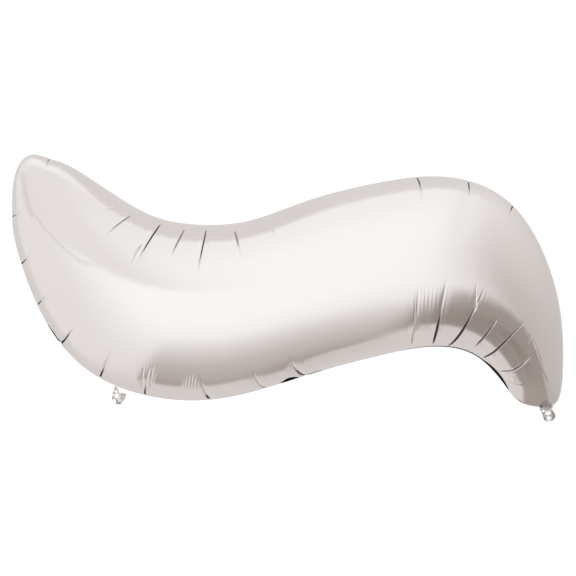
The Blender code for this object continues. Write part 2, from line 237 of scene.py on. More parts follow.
def inflate():
    """Height of the film over sin(angle), for each solver column and row."""
    n = COUNT*STEPS
    place = RIGHT_MIDDLE + np.arange(n)/STEPS
    rim = weld(place)
    crest = spine(place)
    angle = np.linspace(0, math.pi/2, ROWS + 1)
    ids = np.zeros((n, ROWS + 1), int)
    plan = []
    for i in range(n):
        for j in range(ROWS):
            ids[i, j] = len(plan)
            plan.append(rim[i] + (crest[i] - rim[i])*(1 - math.cos(angle[j])))
        mate = (n - i) % n
        if mate < i:
            ids[i, ROWS] = ids[mate, ROWS]
        else:
            ids[i, ROWS] = len(plan)
            plan.append(crest[i])
    plan = np.array(plan)
    triangles = []
    for i in range(n):
        k = (i + 1) % n
        for j in range(ROWS):
            a, b, c, d = ids[i, j], ids[k, j], ids[k, j + 1], ids[i, j + 1]
            triangles.append((a, b, c))
            if c != d:
                triangles.append((a, c, d))
    triangles = np.array(triangles)
    corner = plan[triangles]
    side = np.stack(
        [corner[:, 2] - corner[:, 1], corner[:, 0] - corner[:, 2], corner[:, 1] - corner[:, 0]], 1
    )
    area = 0.5*np.abs(side[:, 0, 0]*side[:, 1, 1] - side[:, 0, 1]*side[:, 1, 0])
    stiffness = np.zeros((len(plan), len(plan)))
    load = np.zeros(len(plan))
    for a in range(3):
        np.add.at(load, triangles[:, a], 2*area/3)
        for b in range(3):
            pull = (side[:, a]*side[:, b]).sum(1)/(4*area)
            np.add.at(stiffness, (triangles[:, a], triangles[:, b]), pull)
    free = np.setdiff1d(np.arange(len(plan)), ids[:, 0])
    square = np.zeros(len(plan))
    square[free] = np.linalg.solve(stiffness[np.ix_(free, free)], load[free])
    height = np.sqrt(np.maximum(square, 0))[ids]
    ratio = np.zeros_like(height)
    ratio[:, 1:] = height[:, 1:]/np.sin(angle[1:])
    ratio[:, 0] = (4*ratio[:, 1] - ratio[:, 2])/3
    return ratio


RATIO = inflate()
print("half thickness:", round(float(RATIO[:, -1].max())*FULLNESS), "mm")

# %% Read the blown-up form at any place


def through(a, b, c, d, part):
    """Smooth value between b and c."""
    return 0.5*(
        2*b + (c - a)*part + (2*a - 5*b + 4*c - d)*part**2 + (3*b - a - 3*c + d)*part**3
    )


def swell(place, angle):
    """Height of the blown-up film; the angle runs from 0 at the weld to 90 at the spine."""
    n = len(RATIO)
    mate = (-np.arange(n)) % n
    grid = np.concatenate([RATIO[:, 1:2], RATIO, RATIO[mate, ROWS - 1:ROWS]], 1)
    x = ((place - RIGHT_MIDDLE)*STEPS) % n
    i = np.floor(x).astype(int)
    y = angle/(math.pi/2)*ROWS
    j = np.clip(np.floor(y).astype(int), 0, ROWS - 1)
    lines = []
    for row in range(4):
        values = [grid[(i + k) % n, j + row] for k in (-1, 0, 1, 2)]
        lines.append(through(*values, x - i))
    return FULLNESS*through(*lines, y - j)*np.sin(angle)


def smooth_film(place, angle):
    """The film without its creases, as x, height over the weld, z."""
    rim = foot(place)
    plan = rim + (spine(place) - rim)*(1 - np.cos(angle))[:, None]
    return np.stack([plan[:, 0], swell(place, angle), plan[:, 1]], 1)


def outward(place, angle):
    angle = np.minimum(angle, math.radians(88))      # on the spine it would have no direction
    along = smooth_film(place + NUDGE, angle) - smooth_film(place - NUDGE, angle)
    up = smooth_film(place, angle + NUDGE) - smooth_film(place, np.maximum(angle - NUDGE, 0))
    normal = np.cross(along, up)
    return -normal/lengths(normal)[:, None]


# %% [markdown]
# ## Puckers and pleats
#
# Each crease starts at a sharp point and fans out as it runs up the film. Two valleys on top
# of each other give the right look: a narrow one, along which painted shade draws a dark line,
# and a wide soft one that bends the reflections around it. One flank is steeper than the other,
# as in a folded pleat. The table below was read from the photograph, crease by crease.
#
# A place counts the outline points along the lower edge, round the right tip, back along the
# upper edge and round the left tip. Distances are in millimetres from the weld.

# %% The table of creases
# Start and reach say how far in a crease begins and ends, dark how far its line of painted
# shade runs, and the next column how dark that painted shade is. Lean shifts it along the edge
# on its way in. Soft and sharp are the two depths, each with its half width, notch is the depth
# at the weld, and side turns the steep flank to one side or the other.
# columns: place, start, reach, dark, line_shade, lean, soft, soft_half, sharp, sharp_half, notch,
# side
CREASES = [
    (0.22, 0, 56, 42, 1.0, 0.06, 1.2, 12, 2.4, 2.4, 1.4, 1),
    (0.77, 0, 60, 44, 1.0, 0.05, 1.4, 13, 2.6, 2.4, 1.6, 1),
    (1.33, 0, 84, 70, 1.1, 0.07, 2.8, 18, 3.8, 3.0, 3.2, 1),
    (2.02, 0, 96, 58, 1.2, 0.02, 2.2, 18, 3.8, 3.0, 2.2, 1),
    (2.59, 44, 90, 0, 0.4, -0.04, 0.8, 9, 1.8, 2.4, 0.0, -1),
    (2.66, 0, 92, 50, 1.0, -0.03, 1.8, 15, 3.6, 2.8, 1.8, 1),
    (2.71, 48, 98, 0, 0.4, -0.03, 0.8, 9, 1.8, 2.4, 0.0, 1),
    (3.57, 13, 92, 24, 1.9, -0.20, 1.4, 13, 2.6, 2.4, 0.0, -1),
    (4.36, 4, 88, 0, 0.6, -0.22, 1.0, 13, 2.0, 2.2, 0.9, -1),
    (4.88, 0, 96, 58, 1.2, -0.24, 2.6, 17, 4.0, 3.0, 2.4, -1),
    (6.52, 38, 142, 34, 0.5, 0.02, 0.5, 12, 0.8, 2.0, 0.0, -1),
    (6.58, 104, 148, 0, 0.1, 0.00, 0.3, 7, 0.4, 1.8, 0.0, -1),
    (7.01, 30, 152, 84, 1.5, 0.09, 1.0, 13, 2.6, 2.4, 0.0, 1),
    (7.36, 16, 140, 106, 1.6, 0.46, 1.2, 13, 2.8, 2.4, 0.0, 1),
    (7.73, 108, 144, 0, 0.5, -0.10, 0.6, 8, 1.8, 2.2, 0.0, -1),
    (7.94, 46, 116, 60, 1.1, 0.31, 0.9, 11, 2.4, 2.2, 0.0, 1),
    (8.19, 22, 126, 92, 1.5, 0.58, 1.2, 12, 2.8, 2.4, 0.0, 1),
    (8.66, 24, 98, 56, 0.9, 1.02, 1.2, 9, 2.8, 2.4, 0.0, 1),
    (9.00, 22, 50, 0, 0.3, 0.90, 0.8, 6, 1.8, 2.0, 0.0, -1),
    (14.52, 0, 26, 18, 0.9, 0.00, 0.8, 9, 2.0, 2.4, 1.2, 1),
    (15.05, 0, 56, 38, 1.0, 0.04, 1.4, 12, 2.8, 2.4, 1.4, 1),
    (15.75, 0, 62, 52, 1.0, -0.04, 1.8, 14, 3.4, 2.8, 1.8, 1),
    (16.49, 0, 76, 60, 1.0, -0.08, 1.8, 14, 3.6, 2.8, 1.6, 1),
    (16.99, 0, 56, 0, 0.3, 0.00, 0.8, 10, 1.0, 2.6, 0.5, 1),
    (18.66, 68, 90, 0, 0.3, -0.10, 0.3, 6, 0.8, 2.0, 0.0, 1),
    (19.34, 52, 112, 44, 0.8, -0.18, 0.6, 12, 1.4, 1.8, 0.0, -1),
    (19.94, 42, 140, 80, 0.95, 0.00, 0.8, 12, 1.6, 1.8, 0.0, 1),
    (20.43, 46, 114, 60, 0.80, 0.11, 0.7, 12, 1.5, 1.8, 0.0, 1),
    (21.03, 40, 138, 80, 1.0, 0.14, 1.2, 14, 1.9, 2.0, 0.0, 1),
    (21.22, 98, 130, 0, 0.7, 0.04, 0.6, 7, 1.6, 2.2, 0.0, -1),
    (21.74, 50, 112, 50, 0.65, 0.22, 0.7, 12, 1.4, 1.8, 0.0, 1),
    (22.04, 48, 70, 0, 0.4, 0.16, 0.6, 8, 1.4, 2.2, 0.0, 1),
    (24.05, 0, 38, 22, 0.6, -0.05, 1.4, 10, 2.0, 2.0, 1.2, 1),
    (27.12, 0, 44, 26, 0.9, 0.10, 1.2, 11, 2.2, 2.2, 1.3, 1),
]
# Here and there the front film is tucked in beside the weld, and painted shade makes the slit black.
# columns: from place, to place, darkness of the painted shade, its width
SLITS = [
    (1.03, 1.37, 0.9, 2.4),
    (4.54, 4.80, 1.0, 5.0),
    (4.86, 5.10, 0.8, 1.2),
    (6.25, 9.30, 0.8, 1.2),
    (8.10, 9.28, 1.0, 3.5),
]
print("creases:", len(CREASES))

# %% Patches of fine ripples
# columns: place, half_span_mm, start, reach, strength
RIPPLES = [
    (2.66, 16, 50, 98, 0.5),
    (3.28, 20, 56, 98, 2.2),
    (4.22, 14, 44, 84, 0.4),
    (4.76, 14, 30, 84, 1.0),
    (6.74, 24, 108, 148, 0.12),
    (7.74, 13, 114, 146, 0.25),
    (8.30, 14, 84, 116, 0.25),
    (9.20, 14, 22, 54, 0.9),
    (21.20, 12, 104, 136, 0.4),
    (21.95, 12, 84, 108, 0.3),
]
print("ripple patches:", len(RIPPLES))

# %% Soft folds
# Long gentle folds in the middle of the film: points x, z across it, depth, half width, power,
# which is 1.5 for a crisp bottom and 2 for a round one, how much painted shade lies along the
# bottom, and the share of its length over which the fold grows out of the film
SOFT_FOLDS = [
    ([(-408, 120), (-392, 102), (-372, 77), (-337, 44), (-312, 31)], 0.5, 5.0, 1.5, 0.12, 0),
    ([(-416, 170), (-411, 142), (-405, 120), (-398, 104)], 1.0, 12.0, 2.0, 0.13, 0),
    ([(287, 140), (282, 121), (272, 88)], 0.5, 16.0, 2.0, 0.0, 0),
    ([(389, -98), (402, -142), (414, -184)], -0.9, 9.0, 2.0, 0.0, 0.6),
]
print("soft folds:", len(SOFT_FOLDS))


def clamp(x):
    return np.clip(x, 0, 1)


def smooth_path(points, pieces=8):
    points = np.array(points, float)
    at = np.linspace(0, len(points) - 1, pieces*(len(points) - 1) + 1)
    i = np.minimum(at.astype(int), len(points) - 2)
    return between(points, smooth_slopes(points, False), i, i + 1, at - i)


def fold_depth(x, z):
    """Depth of the soft folds, and how much their bottom lies in shade."""
    total = np.zeros(len(x))
    shade = np.zeros(len(x))
    for points, depth, half, power, dark, growing in SOFT_FOLDS:
        path = smooth_path(points)
        away = np.full(len(x), 1e9)
        along = np.zeros(len(x))
        for k, (a, b) in enumerate(zip(path, path[1:])):
            run = b - a
            part = clamp(((x - a[0])*run[0] + (z - a[1])*run[1])/(run @ run))
            gap = np.hypot(x - a[0] - part*run[0], z - a[1] - part*run[1])
            along = np.where(gap < away, (k + part)/(len(path) - 1), along)
            away = np.minimum(away, gap)
        grown = clamp(along/growing) if growing else 1.0
        total += depth*grown*np.exp(-(away/half)**power)
        shade = np.maximum(shade, dark*clamp(1 - away/(0.55*half)))
    return total, shade


# %% Depth of the creases at any point
SHOULDER = 0.12             # how far the film stands proud beside a crease
RIDGE = 0.13                # a sharper lip along one side of the dark part
STEEP = 0.45                # width of the steep flank beside the gentle one
FAINT = 0.36                # how dark a crease stays past its dark part
GATHER_HALF = 11.0          # half width and height of the arch of gathered film at the neck
GATHER_HIGH = 24.0
TIGHT = 8                   # mm to a place: where the tips crowd closer, creases fade out
LOOSE = 20


def bell(x):
    return np.exp(-x*x)


def crease_fields(place, angle):
    """How far the film is drawn in, and the painted shade of creases and folds at each point, from 0
    to 1.
    """
    film = smooth_film(place, angle)
    inboard = lengths(film - smooth_film(place, np.zeros_like(angle)))
    step = smooth_film(place + NUDGE, angle) - smooth_film(place - NUDGE, angle)
    pace = lengths(step)/(2*NUDGE)
    drawn, shade = fold_depth(film[:, 0], film[:, 2])
    gather, gather_shade = neck_gather((place - NECK_PLACE)*pace, inboard)
    drawn += gather
    shade = np.maximum(shade, gather_shade)
    spread = clamp((pace - TIGHT)/(LOOSE - TIGHT))
    for row in CREASES:
        at, start, reach, dark, line_shade, lean, soft, soft_half, sharp, sharp_half, notch, side = row
        part = (inboard - start)/(reach - start)
        path = at + lean*np.clip(part, 0, 1.2)
        offset = beside(place, path)
        aside = side*pace*offset
        near = (np.abs(aside) < 2.2*soft_half) & (np.abs(offset) < 0.8)
        near &= (part > -0.02) & (part < 1)
        x, t = aside[near], clamp(part[near])
        first = notch/sharp
        rise = first + (1 - first)*clamp(t/0.15)
        fade = (1 - t)**1.1*spread[near]
        soft_width = soft_half*(0.35 + 0.65*t**0.7)
        sharp_width = sharp_half*(0.8 + 0.5*t)
        u = np.abs(x)/soft_width
        v = np.where(x > 0, x/(STEEP*sharp_width), -x/sharp_width)
        valley = soft*(clamp(1 - u)**1.6 - SHOULDER*bell((u - 1.25)/0.35))
        slot = sharp*(clamp(1 - v)**1.15 - RIDGE*bell((x - sharp_width)/1.3))
        drawn[near] += (valley + slot)*rise*fade
        # Painted shade along the crease: a dark line over its dark part, fainter up to its reach.
        strength = FAINT*min(1.0, line_shade*1.5)*np.sqrt(fade)
        line_half = np.full(len(x), 1.0)
        if dark:
            along = (inboard[near] - start)/dark
            strength = np.maximum(strength, min(1.0, line_shade)*clamp(3.2 - 3*along))
            if start == 0:
                line_half = 0.8 + 1.3*clamp(1.1 - along)
            else:
                line_half = 0.6 + 0.8*np.sin(math.pi*clamp(along))**0.8
            line_half *= max(1.0, line_shade)
        line = strength*spread[near]*clamp(1.2 - (x/line_half)**2)
        shade[near] = np.maximum(shade[near], line*clamp(t*30 + (start == 0)))
    return drawn, shade, inboard


def neck_gather(aside, inboard):
    """Small arch of gathered film where the fill neck leaves the weld, with painted shade on it."""
    rim = GATHER_HALF*np.sqrt(clamp(1 - (inboard/GATHER_HIGH)**2))
    inside = clamp((rim - np.abs(aside))/1.2)*(inboard < GATHER_HIGH)
    pleats = 0.5 + 0.5*np.sin(aside*1.9 + 0.8*np.sin(inboard*0.3))
    # Painted shade on the arch, strongest near the weld, with a darker spot at its lower corner.
    corner = bell((np.abs(aside) - GATHER_HALF*0.75)/2.4)*bell(inboard/7)*(aside < 0)
    drawn = inside*clamp(inboard/3)*(0.3 + 0.3*pleats)
    dark = 0.04 + (0.14 + 0.1*pleats)*clamp((22 - inboard)/4) + corner
    return drawn, inside*clamp(dark)


def slit_fields(place):
    """Width of the slit beside the weld and the painted shade in it; it is pointed at both ends."""
    reach, shade = np.zeros(len(place)), np.zeros(len(place))
    for low, high, darkness, width in SLITS:
        open_share = np.sin(math.pi*clamp((place - low)/(high - low)))
        reach = np.maximum(reach, width*open_share)
        shade = np.maximum(shade, darkness*clamp(4*open_share))
    return np.array([reach, shade])


def tuck(place, angle, slit_width):
    """How far the film stands in, so that it rises behind the slit and not from the weld."""
    plan = lengths(spine(place) - foot(place))*(1 - np.cos(angle))
    return np.maximum(slit_width - plan, 0)


# %% [markdown]
# ## The mesh of one film
#
# The grid runs round the edge in columns and up the film in rows. Columns crowd together
# where there are creases, so the fine folds get their points without wasting any on the
# smooth parts. The two sides meet on the spine, where a row of single points is stitched to
# the last row of each side. Inside lies a plain second skin, so that the film is a closed
# solid shell like the real one.

# %% Columns and rows
FINE = 0.8                  # column spacing in creases, in mm
PLAIN = 3.0                 # column spacing elsewhere, in mm
FILM_ROWS = 60
RIM_HIGH = 0.25             # thickness of one film at the very edge
INNER_ROWS = 8
INNER_STEP = 0.25           # place spacing of the inner skin
INNER_DEPTH = 9.0           # the inner skin stays clear of the deepest crease


def fine_places():
    samples = PACE_PLACES
    density = np.full(len(samples), 1/PLAIN)
    for at, _start, _reach, _dark, _line_shade, lean, *_rest in CREASES:
        away = np.abs(beside(samples - at, lean/2)) - abs(lean)/2
        away_mm = np.clip(away, 0, None)*PACE
        density = np.maximum(density, 1/(FINE + (PLAIN - FINE)*clamp(away_mm/9 - 0.5)))
    for at, span, *_rest in RIPPLES:
        away_mm = np.abs(beside(samples, at))*PACE
        density = np.where(away_mm < span, np.maximum(density, 1/FINE), density)
    total = np.concatenate([[0], np.cumsum(density*PACE*0.01)])
    count = int(total[-1])
    return np.interp(np.arange(count)/count*total[-1], total, np.append(samples, COUNT))


PLACES = fine_places()
print("columns:", len(PLACES), "rows:", FILM_ROWS)

# %% Join rings of points with faces


def stitch(ring, ring_at, loop, loop_at, turned):
    """Triangles between two closed rings whose points have places from 0 to COUNT."""
    faces = []
    i = j = 0
    while i < len(ring) or j < len(loop):
        next_ring = ring_at[i + 1] if i + 1 < len(ring) else COUNT + ring_at[0]
        next_loop = loop_at[j + 1] if j + 1 < len(loop) else COUNT + loop_at[0]
        a = ring[i % len(ring)]
        c = loop[j % len(loop)]
        if j >= len(loop) or (i < len(ring) and next_ring <= next_loop):
            face = (a, ring[(i + 1) % len(ring)], c)
            i += 1
        else:
            face = (a, loop[(j + 1) % len(loop)], c)
            j += 1
        faces.append(face[::-1] if turned else face)
    return faces


def bands(first, second, flip):
    """Quads between two rings that have the same number of points."""
    n = len(first)
    faces = []
    for i in range(n):
        k = (i + 1) % n
        face = (first[i], first[k], second[k], second[i])
        faces.append(face[::-1] if flip else face)
    return faces


# %% Store values on a mesh
# Materials and Geometry Nodes read these by their names.


def store(mesh, key, values):
    layer = mesh.attributes.new(key, "FLOAT", "POINT")
    layer.data.foreach_set("value", np.asarray(values, np.float32))


def read_stored(mesh, key):
    values = np.zeros(len(mesh.vertices), np.float32)
    mesh.attributes[key].data.foreach_get("value", values)
    return values


def store_uv(mesh, points):
    """UV map from one pair of numbers for each vertex."""
    layer = mesh.uv_layers.new(name="along_and_up")
    corners = np.zeros(len(mesh.loops), np.int32)
    mesh.loops.foreach_get("vertex_index", corners)
    layer.data.foreach_set("uv", points[corners].ravel().astype(np.float32))


# %% Build a film


class FilmBuilder:
    """Collects the points, faces and stored values of one film."""

    def __init__(self, side):
        self.side = side
        self.points = []
        self.faces = []
        self.values = {"shade": [], "inboard": [], "run": [], "seal": []}

    def ring(self, xyz, shade, inboard, run, seal):
        start = sum(len(block) for block in self.points)
        block = np.array(xyz, float)
        block[:, 1] = self.side*(GAP/2 + block[:, 1])
        self.points.append(block)
        for key, value in (("shade", shade), ("inboard", inboard), ("run", run), ("seal", seal)):
            self.values[key].append(np.broadcast_to(value, len(block)))
        return list(range(start, start + len(block)))


def flat(plan, height):
    return np.stack([plan[:, 0], np.full(len(plan), height), plan[:, 1]], 1)


def run_of(place):
    """Distance along the edge in millimetres."""
    total = np.concatenate([[0], np.cumsum(PACE*0.01)])
    return np.interp(np.asarray(place) % COUNT, np.append(PACE_PLACES, COUNT), total)


def skin_row(places, angle, slit_width):
    angles = np.full(len(places), angle)
    drawn, shade, inboard = crease_fields(places, angles)
    drawn += tuck(places, angles, slit_width)
    xyz = smooth_film(places, angles) - outward(places, angles)*drawn[:, None]
    xyz[:, 1] += SEAL_RISE
    return xyz, shade, inboard


def build_film(name, side):
    film = FilmBuilder(side)
    flip = side > 0
    drawn, shade, _ = crease_fields(PLACES, np.zeros(len(PLACES)))
    slit_width, slit = slit_fields(PLACES)*(side < 0)      # none on the back film
    # The slit's painted shade joins the painted shade of the creases.
    shade = np.maximum(shade, slit)
    run = run_of(PLACES)
    rim = edge(PLACES) + drawn[:, None]*inward(PLACES)
    rim_low = film.ring(flat(rim, 0.0), shade, 0, run, 1)
    rim_top = film.ring(flat(rim, RIM_HIGH), shade, 0, run, 1)
    rows = []
    for j in range(FILM_ROWS):
        angle = math.pi/2*j/FILM_ROWS
        xyz, row_shade, inboard = skin_row(PLACES, angle, slit_width)
        if j == 0:
            row_shade = np.maximum(row_shade, slit)
        rows.append(film.ring(xyz, row_shade, inboard, run, 1 if j == 0 else 0))
    film.faces += bands(rim_low, rim_top, flip)
    film.faces += bands(rim_top, rows[0], flip)
    for first, second in zip(rows, rows[1:]):
        film.faces += bands(first, second, flip)
    half = np.linspace(0, COUNT/2, 361)
    film.faces += close_crest(film, rows[-1], PLACES, half, None, flip)
    add_inner_skin(film, rim_low, flip)
    return film_object(name, film)


def close_crest(film, last, places, half, inside, turned):
    """Stitch the last row to the spine; inside is None on the outer skin, else its depth."""
    away = (places - RIGHT_MIDDLE) % COUNT
    angles = np.full(len(half), math.pi/2)
    drawn, shade, inboard = crease_fields(RIGHT_MIDDLE + half, angles)
    depth = drawn if inside is None else np.full(len(half), inside)
    crest = smooth_film(RIGHT_MIDDLE + half, angles)
    crest -= outward(RIGHT_MIDDLE + half, angles)*depth[:, None]
    crest[:, 1] += SEAL_RISE
    ids = film.ring(crest, shade, inboard, run_of(RIGHT_MIDDLE + half), 0)
    order = np.argsort(away)
    ring = [last[i] for i in order]
    loop = ids + ids[-2:0:-1]
    loop_at = list(half) + [COUNT - value for value in half[-2:0:-1]]
    return stitch(ring, list(away[order]), loop, loop_at, turned)


def add_inner_skin(film, rim_low, flip):
    """Coarse skin inside the film, joined to the lower rim of the weld."""
    places = np.arange(0, COUNT, INNER_STEP)
    plan = foot(places) + 0.6*INNER_DEPTH*inward(places)
    first = film.ring(flat(plan, 0.0), 0, 0, run_of(places), 0)
    film.faces += stitch(first, list(places), rim_low, list(PLACES), flip)
    rows = [first]
    for j in range(1, INNER_ROWS):
        angles = np.full(len(places), math.pi/2*j/INNER_ROWS)
        xyz = smooth_film(places, angles) - outward(places, angles)*INNER_DEPTH
        xyz[:, 1] = np.maximum(xyz[:, 1], 0.4)
        rows.append(film.ring(xyz, 0, 30, run_of(places), 0))
    for a, b in zip(rows, rows[1:]):
        film.faces += bands(a, b, not flip)
    half = np.arange(0, COUNT/2 + 0.01, INNER_STEP)
    film.faces += close_crest(film, rows[-1], places, half, INNER_DEPTH, not flip)


def film_object(name, film):
    points = np.concatenate(film.points)*MM
    mesh = bpy.data.meshes.new(name)
    mesh.from_pydata(points.tolist(), [], film.faces)
    mesh.update()
    stored = {key: np.concatenate(blocks) for key, blocks in film.values.items()}
    for key, values in stored.items():
        store(mesh, key, values)
    store_uv(mesh, np.stack([stored["run"], stored["inboard"]], 1)*MM)
    rim_faces = 2*len(PLACES)                        # these stay flat, for a crisp edge
    smooth = [k >= rim_faces for k in range(len(film.faces))]
    mesh.polygons.foreach_set("use_smooth", smooth)
    return add_object(name, mesh)


front_skin = build_film("front_film_skin", -1)
back_skin = build_film("back_film_skin", 1)
print("faces in a film:", len(front_skin.data.polygons))

# %% [markdown]
# ## Writing nodes as sums
#
# Geometry Nodes and materials are both small calculations. Wrapped in a class, a node's output
# can be added and multiplied in plain Python, and each sign adds the Math node that does the
# sum. A second class adds any other node, with its settings and inputs, in one call.

# %% A value in a node tree


class Value:
    """An output socket that can be used in sums."""

    def __init__(self, tree, socket):
        self.tree = tree
        self.socket = socket

    def maths(self, operation, *others, clamp=False):
        node = self.tree.nodes.new("ShaderNodeMath")
        node.operation = operation
        node.use_clamp = clamp
        for slot, value in zip(node.inputs, others):
            if isinstance(value, Value):
                self.tree.links.new(value.socket, slot)
            else:
                slot.default_value = value
        return Value(self.tree, node.outputs[0])

    def __add__(self, other):
        return self.maths("ADD", self, other)

    def __radd__(self, other):
        return self.maths("ADD", other, self)

    def __sub__(self, other):
        return self.maths("SUBTRACT", self, other)

    def __rsub__(self, other):
        return self.maths("SUBTRACT", other, self)

    def __mul__(self, other):
        return self.maths("MULTIPLY", self, other)

    def __rmul__(self, other):
        return self.maths("MULTIPLY", other, self)

    def __truediv__(self, other):
        return self.maths("DIVIDE", self, other)

    def power(self, other):
        return self.maths("POWER", self, other)

    def sine(self):
        return self.maths("SINE", self)

    def size(self):
        return self.maths("ABSOLUTE", self)

    def clamp(self):
        return self.maths("ADD", self, 0.0, clamp=True)


class Tree:
    """A node tree, and the one way to add any node to it."""

    def __init__(self, tree):
        self.tree = tree

    def node(self, kind, values=(), **settings):
        made = self.tree.nodes.new(kind)
        for name, value in settings.items():
            setattr(made, name, value)
        for name, value in dict(values).items():
            self.set(made.inputs[name], value)
        return made

    def set(self, slot, value):
        if isinstance(value, Value):
            self.tree.links.new(value.socket, slot)
        elif hasattr(value, "links"):
            self.tree.links.new(value, slot)
        else:
            slot.default_value = value

    def value(self, node, output=0):
        return Value(self.tree, node.outputs[output])


# %% [markdown]
# ## Fine ripples by Geometry Nodes
#
# Between the long pleats the film gathers in small even ripples, like the edge of a curtain.
# They repeat along the weld, which is a job for Geometry Nodes. The tree reads two values
# stored on the mesh, the distance along the edge and the distance in from it, and lifts the
# film with a wave that fades inwards. Its sizes are inputs with names, so one tree serves
# both films, and a noise with a fixed seed keeps the ripples from looking machined.

# %% Where the ripples go


def store_ripple_mask(mesh):
    run, inboard = read_stored(mesh, "run"), read_stored(mesh, "inboard")
    length = float(PACE.mean())*COUNT
    mask = np.zeros(len(run))
    for place, span, start, reach, strength in RIPPLES:
        middle = float(run_of(np.array([place]))[0])
        aside = np.abs(beside(run, middle, length))/span
        part = (inboard - start)/(reach - start)
        window = clamp(1 - aside)**0.7*clamp(part*5)*clamp((1 - part)*1.6)
        mask = np.maximum(mask, strength*window)
    store(mesh, "ripple", mask)
    return mask


for skin in (front_skin, back_skin):
    rippled_points = int((store_ripple_mask(skin.data) > 0).sum())
    print(skin.name, "has", rippled_points, "rippled points")

# %% The ripple tree
RIPPLE_PITCH = 5.2          # from crest to crest, in mm along the weld
RIPPLE_DEPTH = 0.00045      # in metres
RIPPLE_GRAIN = 38.0         # scale of the noise that lets the crests wander


def ripple_tree():
    group = bpy.data.node_groups.new("weld_ripples", "GeometryNodeTree")
    sockets = group.interface
    sockets.new_socket("Geometry", in_out="INPUT", socket_type="NodeSocketGeometry")
    sizes = (("Pitch", RIPPLE_PITCH), ("Depth", RIPPLE_DEPTH), ("Wander", 0.9), ("Seed", 4.0))
    for name, value in sizes:
        made = sockets.new_socket(name, in_out="INPUT", socket_type="NodeSocketFloat")
        made.default_value = value
    sockets.new_socket("Foil", in_out="INPUT", socket_type="NodeSocketMaterial")
    sockets.new_socket("Geometry", in_out="OUTPUT", socket_type="NodeSocketGeometry")
    tree = Tree(group)
    given = tree.node("NodeGroupInput")
    pitch, depth, wander = (tree.value(given, name) for name in ("Pitch", "Depth", "Wander"))

    def stored(name):
        reader = tree.node("GeometryNodeInputNamedAttribute", {"Name": name}, data_type="FLOAT")
        return tree.value(reader, "Attribute")

    noise = tree.value(tree.node("ShaderNodeTexNoise", {
        "Vector": tree.node("GeometryNodeInputPosition").outputs[0],
        "W": given.outputs["Seed"], "Scale": RIPPLE_GRAIN, "Detail": 1.0,
    }, noise_dimensions="4D"), "Fac")
    phase = (stored("run")/pitch + (noise - 0.5)*wander)*(2*math.pi)
    height = phase.sine()*stored("ripple")*depth
    lift = tree.node("ShaderNodeVectorMath", {
        "Vector": tree.node("GeometryNodeInputNormal").outputs[0], "Scale": height,
    }, operation="SCALE")
    moved = tree.node("GeometryNodeSetPosition", {
        "Geometry": given.outputs["Geometry"], "Offset": lift.outputs[0],
    })
    real = tree.node("GeometryNodeRealizeInstances", {"Geometry": moved.outputs[0]})
    painted = tree.node("GeometryNodeSetMaterial", {
        "Geometry": real.outputs[0], "Material": given.outputs["Foil"],
    })
    tree.node("NodeGroupOutput", {"Geometry": painted.outputs[0]})
    return group


RIPPLE_TREE = ripple_tree()
print("inputs of the ripple tree:", [item.name for item in RIPPLE_TREE.interface.items_tree])

# %% [markdown]
# ## Satin foil
#
# The film is plastic with a layer of metal, brushed to a satin shine: a metal surface with a
# little roughness, slightly warm in colour. Three small effects keep it from looking like
# polished steel. Painted shade darkens the film in its creases, slits and folds, where it also
# loses its metal and turns black. Fine lines run up from the weld, where the film is under
# strain. And a faint cloudiness varies how sharp the reflections are.

# %% A material or the world


class Paint(Tree):
    """The node tree of a material or of the world."""

    def __init__(self, owner):
        owner.use_nodes = True
        super().__init__(owner.node_tree)
        self.owner = owner

    def stored(self, name):
        return self.value(self.node("ShaderNodeAttribute", attribute_name=name), "Fac")

    def blend(self, share, first, second):
        mixed = self.node("ShaderNodeMix", data_type="RGBA")
        for k, value in ((0, share), (6, first), (7, second)):
            self.set(mixed.inputs[k], value)
        return mixed.outputs[2]


# %% Foil material
FOIL_COLOR = (0.925, 0.894, 0.890, 1)
FOIL_SHADE = (0.012, 0.010, 0.010, 1)
STRAIN_REACH = 70.0         # how far from the weld the fine lines run, in mm


def foil_material(name):
    paint = Paint(bpy.data.materials.new(name))
    shader = paint.tree.nodes["Principled BSDF"]
    shader.inputs["Specular IOR Level"].default_value = 0.0     # so the creases stay black
    # Painted shade: the stored shade darkens the foil towards FOIL_SHADE and takes away its metal.
    shade = paint.stored("shade")
    paint.set(shader.inputs["Metallic"], (3.3 - shade*3.3).clamp())
    inboard = paint.stored("inboard")
    seal = paint.stored("seal")
    position = paint.node("ShaderNodeTexCoord").outputs["Object"]
    clouds = paint.value(paint.node(
        "ShaderNodeTexNoise", {"Vector": position, "Scale": 9.0, "Detail": 2.0}
    ), "Fac")
    along = paint.node("ShaderNodeUVMap", uv_map="along_and_up").outputs[0]
    stretched = paint.node("ShaderNodeMapping", {"Vector": along, "Scale": (420.0, 14.0, 1.0)})
    lines = paint.value(paint.node(
        "ShaderNodeTexNoise", {"Vector": stretched.outputs[0], "Scale": 1.0, "Detail": 1.5}
    ), "Fac")
    near_weld = (1 - inboard/STRAIN_REACH).clamp()
    grain = paint.value(paint.node(
        "ShaderNodeTexNoise", {"Vector": position, "Scale": 900.0, "Detail": 1.0}
    ), "Fac")
    relief = lines*(near_weld*0.9 + 0.05) + grain*0.05
    bump = paint.node("ShaderNodeBump", {"Height": relief, "Strength": 0.12, "Distance": 0.0006})
    # The weld strip gets a little painted shade as well, on top of the stored shade.
    paint.set(shader.inputs["Base Color"], paint.blend(
        (shade + seal*0.04).clamp(), FOIL_COLOR, FOIL_SHADE
    ))
    paint.set(shader.inputs["Roughness"], 0.15 + clouds*0.08 + seal*0.1)
    paint.set(shader.inputs["Normal"], bump.outputs[0])
    return paint.owner


FOIL = foil_material("satin_foil")
print("material:", FOIL.name)

# %% Put ripples and foil on both films


